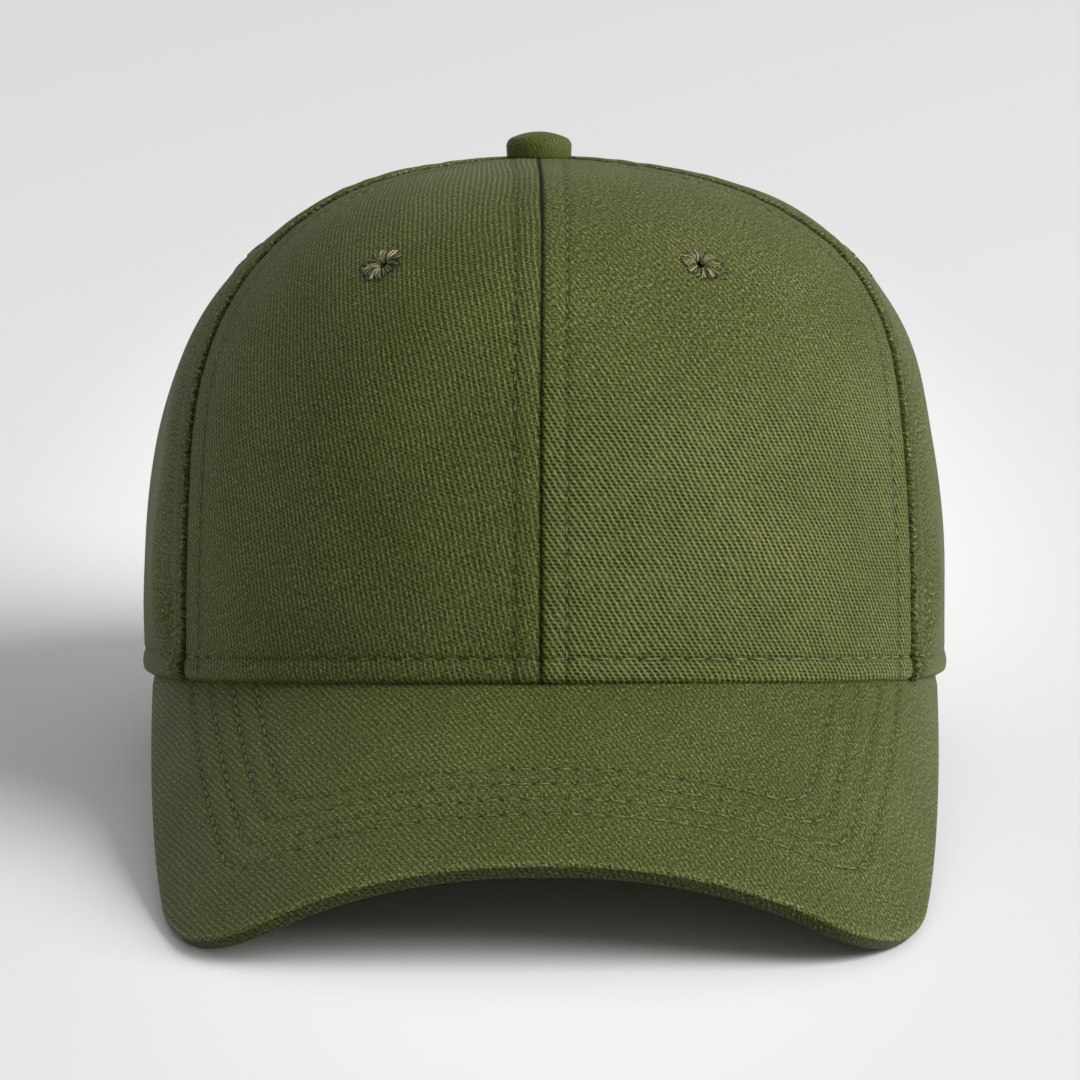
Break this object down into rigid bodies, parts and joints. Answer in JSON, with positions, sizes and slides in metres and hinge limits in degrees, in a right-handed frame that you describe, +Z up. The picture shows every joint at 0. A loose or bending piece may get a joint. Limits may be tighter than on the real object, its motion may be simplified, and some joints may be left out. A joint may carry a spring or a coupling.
{
  "type": "six-panel cap",
  "caption": "Structured cotton twill cap: six sewn panels with eyelets, a curved stitched peak, a top button, a sweatband and a strap across the back opening.",
  "frame": {"origin": "middle of the footprint, on the surface that the cap stands on", "axes": "+Z up, -Y towards the front of the peak, +X to the right of a viewer who faces the cap"},
  "size_m": [0.1712, 0.2514, 0.1316],
  "materials": {
    "twill": "brushed cotton twill, matt",
    "sweatband_twill": "cotton twill tape, matt",
    "eyelet_thread": "polyester embroidery thread, soft sheen"
  },
  "bodies": {
    "root": {"panel_front_left": "twill", "panel_front_right": "twill", "panel_side_left": "twill", "panel_side_right": "twill", "panel_back_left": "twill", "panel_back_right": "twill", "peak": "twill", "top_button": "twill", "back_strap": "twill", "sweatband": "sweatband_twill", "eyelet_front_left": "eyelet_thread", "eyelet_front_right": "eyelet_thread", "eyelet_side_left": "eyelet_thread", "eyelet_side_right": "eyelet_thread", "eyelet_back_left": "eyelet_thread", "eyelet_back_right": "eyelet_thread"}
  },
  "joints": []
}
